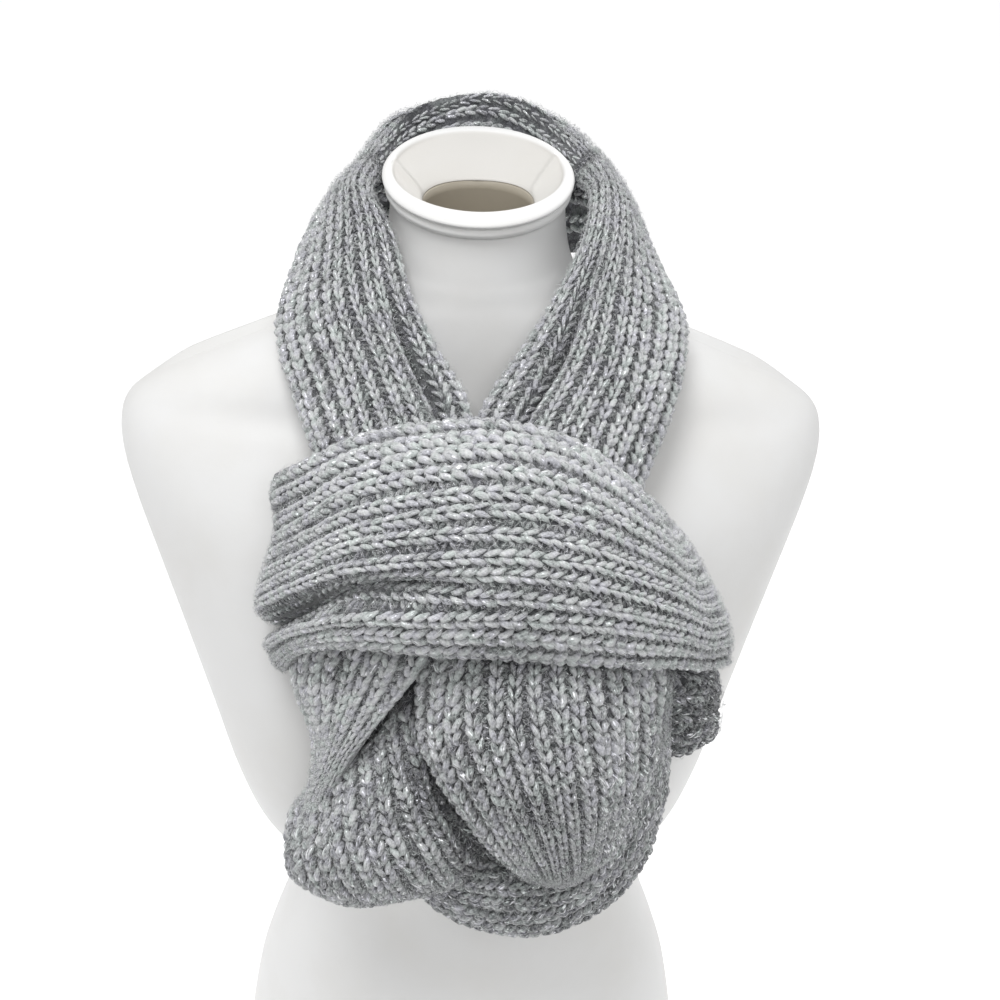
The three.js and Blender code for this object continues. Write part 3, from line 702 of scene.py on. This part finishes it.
# The stretches of the scarf, in millimetres
# A section is its left edge, middle and right edge, as seen with the rows running down or to the right.
# A fold is the rib it follows, its depth, its width in ribs and the shares of the length where it starts and
# ends. A crease runs from (u, v) to (u, v), then its depth and width.
# Facing is a point behind the cloth, point is which way its V stitches point, inside is whether its inner
# face has ribs too, and close and spread are the share of a stitch's usual length and width.
leftSeam = ((-87, 76, 605), (-66, 55, 656), (-57, 42, 648))
rightSeam = ((58, 42, 648), (71, 54, 659), (89, 76, 605))

# A stretch's tone is painted light and shade: highest on the band and the pulled strip, which face the light,
# lower on the lobes, the back of the neck, the bottom edge and the tail, which lie in shade.
band = {
    "name": "scarf_band", "tone": 0.57, "seed": 1, "ribs": 13, "facing": (5, -60, 470), "point": 1,
    "inside": False, "paintedChannelShade": 0.12, "paintedInsideShade": 0.3,
    "flat": (0.144, 0.335), "held": "gathered", "rests_on": ["form_torso", "scarf_bunch_inside"],
    "sections": [
        ((-105, -76, 517), (-109, -80, 450), (-103, -88, 405)),
        ((-100, -94, 529), (-104, -118, 473), (-98, -122, 428)),
        ((-82, -110, 543), (-83, -156, 502), (-86, -152, 454)),
        ((-56, -123, 560), (-57, -182, 527), (-60, -174, 471)),
        ((-26, -129, 569), (-23, -199, 541), (-22, -190, 476)),
        ((8, -131, 571), (10, -205, 546), (15, -195, 477)),
        ((44, -126, 560), (46, -197, 537), (53, -188, 471)),
        ((73, -115, 536), (85, -170, 509), (93, -166, 457)),
        ((85, -99, 517), (108, -140, 482), (119, -138, 438)),
        ((85, -80, 512), (122, -109, 469), (136, -107, 423)),
        ((78, -66, 510), (116, -80, 464), (118, -84, 405)),
    ],
    "folds": [
        (9, 15, 0.7, 0.02, 0.46), (7.5, -4, 1.2, -0.1, 0.36), (2.8, 6, 1.9, -0.3, 0.3),
        (11.9, 5, 0.55, 0.66, 0.95),
    ],
    "creases": [(0.70, -0.10, 0.69, 0.26, 8, 5), (0.79, 0.02, 0.80, 0.34, -3, 5)],
}
pullLeft = {
    "name": "scarf_pull_left", "tone": 0.6, "seed": 2, "ribs": 8, "facing": (-40, -60, 400), "point": -1,
    "inside": False, "paintedChannelShade": 0.12,
    "flat": (0.066, 0.165), "held": "folded", "rests_on": ["scarf_lobe_left", "scarf_lobe_right"],
    "sections": [
        ((-94, -116, 452), (-57, -144, 473), (-20, -158, 478)),
        ((-95, -122, 425), (-65, -152, 447), (-23, -168, 462)),
        ((-88, -120, 399), (-70, -151, 419), (-42, -167, 432)),
        ((-83, -117, 374), (-73, -146, 397), (-61, -160, 399)),
        ((-86, -115, 351), (-81, -140, 367), (-73, -151, 371)),
        ((-98, -110, 326), (-90, -132, 341), (-81, -143, 344)),
    ],
    "folds": [],
}
lobeRight = {
    "name": "scarf_lobe_right", "tone": 0.5, "seed": 3, "ribs": 14, "facing": (30, -60, 400), "point": -1,
    "inside": False, "paintedChannelShade": 0.06, "close": 0.92,
    "flat": (0.150, 0.155), "held": "folded", "rests_on": ["scarf_bunch_inside"],
    "sections": [
        ((-25, -154, 466), (32, -178, 475), (94, -142, 452)),
        ((-30, -162, 440), (31, -202, 461), (97, -144, 425)),
        ((-30, -170, 416), (34, -213, 442), (97, -143, 396)),
        ((-15, -178, 388), (40, -214, 414), (94, -138, 368)),
        ((5, -177, 361), (45, -204, 382), (90, -134, 346)),
        ((20, -166, 338), (49, -185, 349), (84, -126, 328)),
        ((29, -146, 320), (51, -158, 323), (76, -118, 312)),
    ],
    "folds": [],
    "creases": [(0.0, 0.15, 0.0, 1.0, 6, 6), (1.0, 0.2, 1.0, 1.1, 6, 6)],
    # painted shade: the lobe is painted darker towards its lower end
    "paintedShadeAlong": 0.2,
}
lobeLeft = {
    "name": "scarf_lobe_left", "tone": 0.46, "seed": 4, "ribs": 12, "facing": (-30, -60, 360), "point": -1,
    "inside": False, "paintedChannelShade": 0.06, "close": 0.92,
    "flat": (0.125, 0.160), "held": "folded", "rests_on": ["scarf_bunch_inside"],
    "sections": [
        ((-98, -116, 338), (-58, -142, 395), (-18, -148, 452)),
        ((-102, -121, 316), (-56, -164, 382), (-13, -150, 420)),
        ((-101, -121, 298), (-54, -177, 362), (-2, -149, 390)),
        ((-89, -116, 283), (-46, -176, 337), (16, -149, 364)),
        ((-67, -104, 274), (-35, -152, 307), (32, -144, 338)),
        ((-54, -90, 279), (-20, -114, 289), (33, -126, 314)),
    ],
    "folds": [(10.6, 5, 1, -0.25, 1.1)],
    "creases": [(0.93, 0.14, 0.82, 0.95, 7, 8), (0.0, 0.02, 0.7, 0.02, 5, 6)],
    # painted shade: the lobe is painted darker towards its lower end
    "paintedShadeAlong": 0.18,
}
bottomEdge = {
    "name": "scarf_bottom_edge", "tone": 0.3, "seed": 5, "ribs": 6, "facing": (20, -80, 400), "point": -1,
    "inside": False, "paintedChannelShade": 0.06,
    "flat": (0.057, 0.290), "held": "folded", "rests_on": ["scarf_bunch_inside"],
    "sections": [
        ((90, -138, 439), (97, -130, 435), (104, -114, 425)),
        ((90, -145, 414), (96, -136, 410), (104, -115, 396)),
        ((87, -151, 393), (95, -141, 382), (107, -115, 359)),
        ((77, -155, 372), (89, -145, 355), (104, -115, 324)),
        ((62, -159, 351), (77, -149, 330), (96, -116, 292)),
        ((49, -158, 332), (62, -150, 309), (78, -116, 265)),
        ((34, -150, 328), (42, -148, 296), (50, -117, 251)),
        ((18, -150, 328), (21, -146, 293), (22, -118, 250)),
        ((2, -144, 320), (-3, -139, 292), (-10, -113, 258)),
        ((-18, -138, 306), (-24, -123, 291), (-32, -102, 271)),
    ],
    "folds": [],
    "creases": [(0.0, 0.25, 0.0, 1.05, 7, 6)],
}
tailRight = {
    "name": "scarf_tail_right", "tone": 0.2, "seed": 6, "ribs": 6, "facing": (100, -60, 400), "point": 1,
    "inside": False, "paintedChannelShade": 0.06,
    "flat": (0.057, 0.060), "held": "folded", "rests_on": ["scarf_band"],
    "sections": [
        ((92, -104, 430), (95, -118, 409), (101, -106, 374)),
        ((111, -100, 432), (111, -119, 407), (112, -104, 361)),
        ((127, -92, 424), (125, -110, 400), (128, -97, 364)),
        ((135, -82, 400), (137, -94, 386), (138, -85, 369)),
    ],
    "folds": [],
}
frontLeft = {
    "name": "scarf_front_left", "seed": 7, "ribs": 11, "facing": (-40, 60, 520), "point": -1,
    "inside": True, "paintedChannelShade": 0.07, "paintedInsideShade": 0.3, "spread": 0.92,
    "flat": (0.104, 0.220), "held": "hung", "rests_on": ["form_torso"],
    "sections": [
        leftSeam, ((-92, 48, 619), (-73, 24, 649), (-58, 12, 645)),
        ((-102, 18, 600), (-73, -9, 631), (-46, -8, 632)),
        ((-110, -8, 576), (-70, -43, 602), (-35, -35, 606)),
        ((-100, -41, 554), (-57, -71, 576), (-21, -57, 583)),
        ((-88, -68, 533), (-47, -95, 558), (-6, -74, 564)),
        ((-80, -86, 520), (-38, -114, 543), (1, -94, 545)),
    ],
    "folds": [(8.9, 8, 0.6, 0.5, 1.1)],
    "creases": [(0.78, 0.55, 0.83, 1.05, 6, 3.5)],
}
frontRight = {
    "name": "scarf_front_right", "seed": 8, "ribs": 12, "facing": (40, 60, 520), "point": -1,
    "inside": True, "paintedChannelShade": 0.07, "paintedInsideShade": 0.3, "spread": 0.95,
    "flat": (0.114, 0.240), "held": "hung", "rests_on": ["form_torso"],
    "sections": [
        rightSeam, ((61, 12, 647), (77, 22, 651), (92, 48, 621)),
        ((56, -14, 629), (77, -17, 631), (104, 18, 602)), ((41, -35, 607), (71, -47, 606), (116, -9, 582)),
        ((22, -57, 583), (62, -77, 580), (110, -43, 561)), ((5, -75, 563), (46, -101, 557), (96, -67, 532)),
        ((-3, -93, 550), (38, -118, 541), (84, -86, 506)),
    ],
    "folds": [(3, 9, 0.6, 0.3, 1.1)],
    "creases": [(0.30, 0.42, 0.24, 0.95, 4, 3)],
}
backNeck = {
    "name": "scarf_back_neck", "tone": 0.44, "seed": 9, "ribs": 13, "facing": (0, 20, 600), "point": 1,
    "inside": True, "paintedChannelShade": 0.06, "stitchedInside": True,
    "flat": (0.124, 0.190), "held": "hung", "rests_on": ["form_torso"],
    "sections": [
        leftSeam, ((-68, 102, 598), (-46, 87, 674), (-40, 78, 652)),
        ((-4, 118, 590), (5, 98, 685), (0, 82, 662)), ((70, 102, 598), (49, 87, 674), (39, 78, 652)),
        rightSeam[::-1],
    ],
    "folds": [(8.8, 7, 1.0, 0.1, 0.9)],
}
stretches = [band, pullLeft, lobeRight, lobeLeft, bottomEdge, tailRight, frontLeft, frontRight, backNeck]


def makeStretch(piece, material):
    # A stretch is its wall, as one sheet, with the stitches and the hairs over it.
    chance = np.random.default_rng(100 + piece["seed"])
    wall = clothWall(piece, material)
    stitches = joinTubes(piece["name"] + "_stitches", stitchGroups(piece, chance), material)
    fibres = makeFibres(piece, chance, material)
    over = [stitches, fibres]
    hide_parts(piece["name"])
    for made in (wall, *over):
        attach(made, "root")
    counts = [len(made.data.polygons) for made in (wall, *over)]
    print(piece["name"], "faces of cloth, stitches and fibres:", *counts)
    return wall


# The cloth gathered inside the bunch

bunch = {
    "sides": 250, "rows": 60,
    "pleats": 17, "pleatDepth": 0.0035,
    "ribs": 50, "ribDepth": 0.0022,
    "clear": 0.005,            # between it and what it lies under
    "evened": 14,              # times that its reach is evened out sideways
    "tones": (-0.25, 0.12),    # painted shade: nearly black at the front, where only a slit of it shows, and lighter from there back
    # height, middle in x, half width, reach to the front and to the back
    "sections": [
        (540, -8, 40, -128, -50), (515, 0, 68, -158, -60), (480, 4, 78, -178, -70), (440, 2, 78, -178, -85),
        (400, 0, 76, -176, -90), (352, -6, 70, -166, -90), (312, -6, 60, -148, -88), (290, -4, 40, -130, -84),
    ],
}


def makeBunch(walls, material):
    # An ellipse at each height, drawn in wherever a stretch or the form stands in its way, with soft upright
    # pleats and ribs that wander sideways with height.
    rows = alongRows(bunch["sections"], bunch["rows"])
    z, x, wide, front, back = (rows[:, i, None] * mm for i in range(5))
    turn = 2 * np.pi * np.arange(bunch["sides"])[None, :] / bunch["sides"]
    middle = np.concatenate([x, (front + back) / 2, z], -1)[:, None, :]
    out = np.stack([wide * np.cos(turn), (back - front) / 2 * np.sin(turn), 0 * z + 0 * turn], -1)
    reach = np.linalg.norm(out, axis=-1)
    way = out / reach[..., None]
    tree = BVHTree.FromPolygons(*joinedFaces(walls))
    starts = np.broadcast_to(middle, way.shape).reshape(-1, 3)
    hits = [tree.ray_cast(Vector(m), Vector(w), r + 0.02)
            for m, w, r in zip(starts, way.reshape(-1, 3), reach.ravel())]
    far = np.array([h[3] if h[3] is not None else 1.0 for h in hits]).reshape(reach.shape)
    pleat = bunch["pleatDepth"] * (np.sin(turn * bunch["pleats"] + 40 * z) - 1) / 2
    reach = np.minimum(reach, far - bunch["clear"]) + pleat
    for _ in range(bunch["evened"]):
        reach = (reach + np.roll(reach, 1, 1) + np.roll(reach, -1, 1)) / 3
    crest = ribRelief(turn * bunch["ribs"] / (2 * np.pi) + 3 * np.sin(9 * z + turn))
    reach = reach + bunch["ribDepth"] * (crest - 1)
    points = (middle + way * np.clip(reach, 0.004, None)[..., None]).reshape(-1, 3)
    sides = bunch["sides"]
    quads = closedStack(bunch["rows"], sides)
    front, rest = bunch["tones"]
    # painted shade: dark at the front, lighter towards the back and on the rib crests than in the troughs
    tone = front + (rest - front) * smooth((points[:, 1] + 0.115) / 0.03) * (0.6 + 0.8 * crest.ravel())
    values = {"tone": tone, "glint": 0 * tone - 0.25}
    flip = enclosed(points, quads) < 0
    made = addMesh("scarf_gathered_inside", points, quads, None, values, material, flip)
    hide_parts("scarf_bunch_inside")
    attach(made, "root")
    return made


def joinedFaces(pieces):
    # Points and faces of several pieces in one list each.
    points, faces, start = [], [], 0
    for piece in pieces:
        points += [v.co[:] for v in piece.data.vertices]
        faces += [[start + i for i in p.vertices] for p in piece.data.polygons]
        start += len(piece.data.vertices)
    return points, faces


# Camera, light and floor

view = {
    "place": (-0.016, -0.750, 0.806),
    "down": 24.05, "aside": 2.46, "roll": 1.67,   # degrees
    "lens": 50.04,
    "sensor": 36,
}

light = {
    "sky": 0.52,
    "floorSize": 30,           # half its side
    "floorGlow": 0.52,
    "floorSlope": 1.6,         # how fast the floor turns paler towards the back, a metre
    "floorMiddle": 0.85,       # its paleness at the middle of the part
    # name, place, aim, size and power of each lamp
    "lamps": [
        ("key", (-0.35, -0.9, 2.2), (0, -0.05, 0.5), 0.9, 18),
        ("front", (0.2, -1.8, 1.5), (0, 0, 0.45), 0.9, 8),
        ("back", (0.3, 1.6, 1.7), (0, 0, 0.5), 1.2, 8),
    ],
}


def makeCamera():
    # The camera looks along forward, which points down and aside by its angles, and is rolled about it.
    down, aside, roll = (math.radians(view[k]) for k in ("down", "aside", "roll"))
    forward = Vector((math.sin(aside) * math.cos(down), math.cos(aside) * math.cos(down), -math.sin(down)))
    level = Vector((math.cos(aside), -math.sin(aside), 0))
    rise = level.cross(forward)
    right = level * math.cos(roll) + rise * math.sin(roll)
    up = rise * math.cos(roll) - level * math.sin(roll)
    data = bpy.data.cameras.new("camera")
    data.lens, data.sensor_width = view["lens"], view["sensor"]
    data.clip_start, data.clip_end = 0.02, 60
    camera = bpy.data.objects.new("camera", data)
    bpy.context.scene.collection.objects.link(camera)
    turn = Matrix((right, up, -forward)).transposed()
    camera.matrix_world = Matrix.Translation(view["place"]) @ turn.to_4x4()
    bpy.context.scene.camera = camera


def areaLight(name, place, aim, size, power):
    # A round lamp that looks at its aim.
    data = bpy.data.lights.new(name, "AREA")
    data.shape, data.size, data.energy = "DISK", size, power
    lamp = bpy.data.objects.new(name, data)
    bpy.context.scene.collection.objects.link(lamp)
    lamp.location = place
    lamp.rotation_euler = (Vector(aim) - Vector(place)).to_track_quat("-Z", "Y").to_euler()


def makeStage():
    # A square floor, three round lamps and an even white sky.
    size = light["floorSize"]
    points = np.array([[-size, -size, 0], [size, -size, 0], [size, size, 0], [-size, size, 0]], float)
    material, nodes, links, shader = nodeMaterial("floor_white")
    # paler behind the form than in front of it, where its light would fill the shade under the scarf
    coords = nodes.new("ShaderNodeTexCoord")
    place = nodes.new("ShaderNodeSeparateXYZ")
    links.new(coords.outputs["Object"], place.inputs[0])
    back = maths(nodes, links, "MULTIPLY_ADD", place.outputs["Y"], light["floorSlope"], light["floorMiddle"])
    color = ramp(nodes, links, back, [(0.0, (0.5, 0.5, 0.5)), (1.0, (0.95, 0.95, 0.95))])
    links.new(color, shader.inputs["Base Color"])
    glow = ramp(nodes, links, back, [(0.0, (0, 0, 0)), (1.0, (1, 1, 1))])
    links.new(glow, shader.inputs["Emission Color"])
    shader.inputs["Emission Strength"].default_value = light["floorGlow"]
    shader.inputs["Roughness"].default_value = 0.9
    shader.inputs["Specular IOR Level"].default_value = 0.1
    addMesh("floor", points, np.array([[0, 1, 2, 3]]), None, None, material)
    for name, place, aim, size, power in light["lamps"]:
        areaLight(name, place, aim, size, power)
    world = bpy.data.worlds.new("studio")
    world.use_nodes = True
    world.node_tree.nodes["Background"].inputs["Color"].default_value = (1, 1, 1, 1)
    world.node_tree.nodes["Background"].inputs["Strength"].default_value = light["sky"]
    scene = bpy.context.scene
    scene.world = world
    scene.view_settings.view_transform = "Standard"
    scene.view_settings.look = "None"


yarn = yarnMaterial()
plastic = plasticMaterial()
makeCamera()
makeStage()
print("camera, light and floor")
torso = makeTorso(plastic)
flange = makeFlange(plastic)
print("form", len(torso.data.polygons), "and", len(flange.data.polygons), "faces")
walls = [makeStretch(piece, yarn) for piece in stretches]
makeBunch(walls + [torso], yarn)
print("gathered cloth inside")
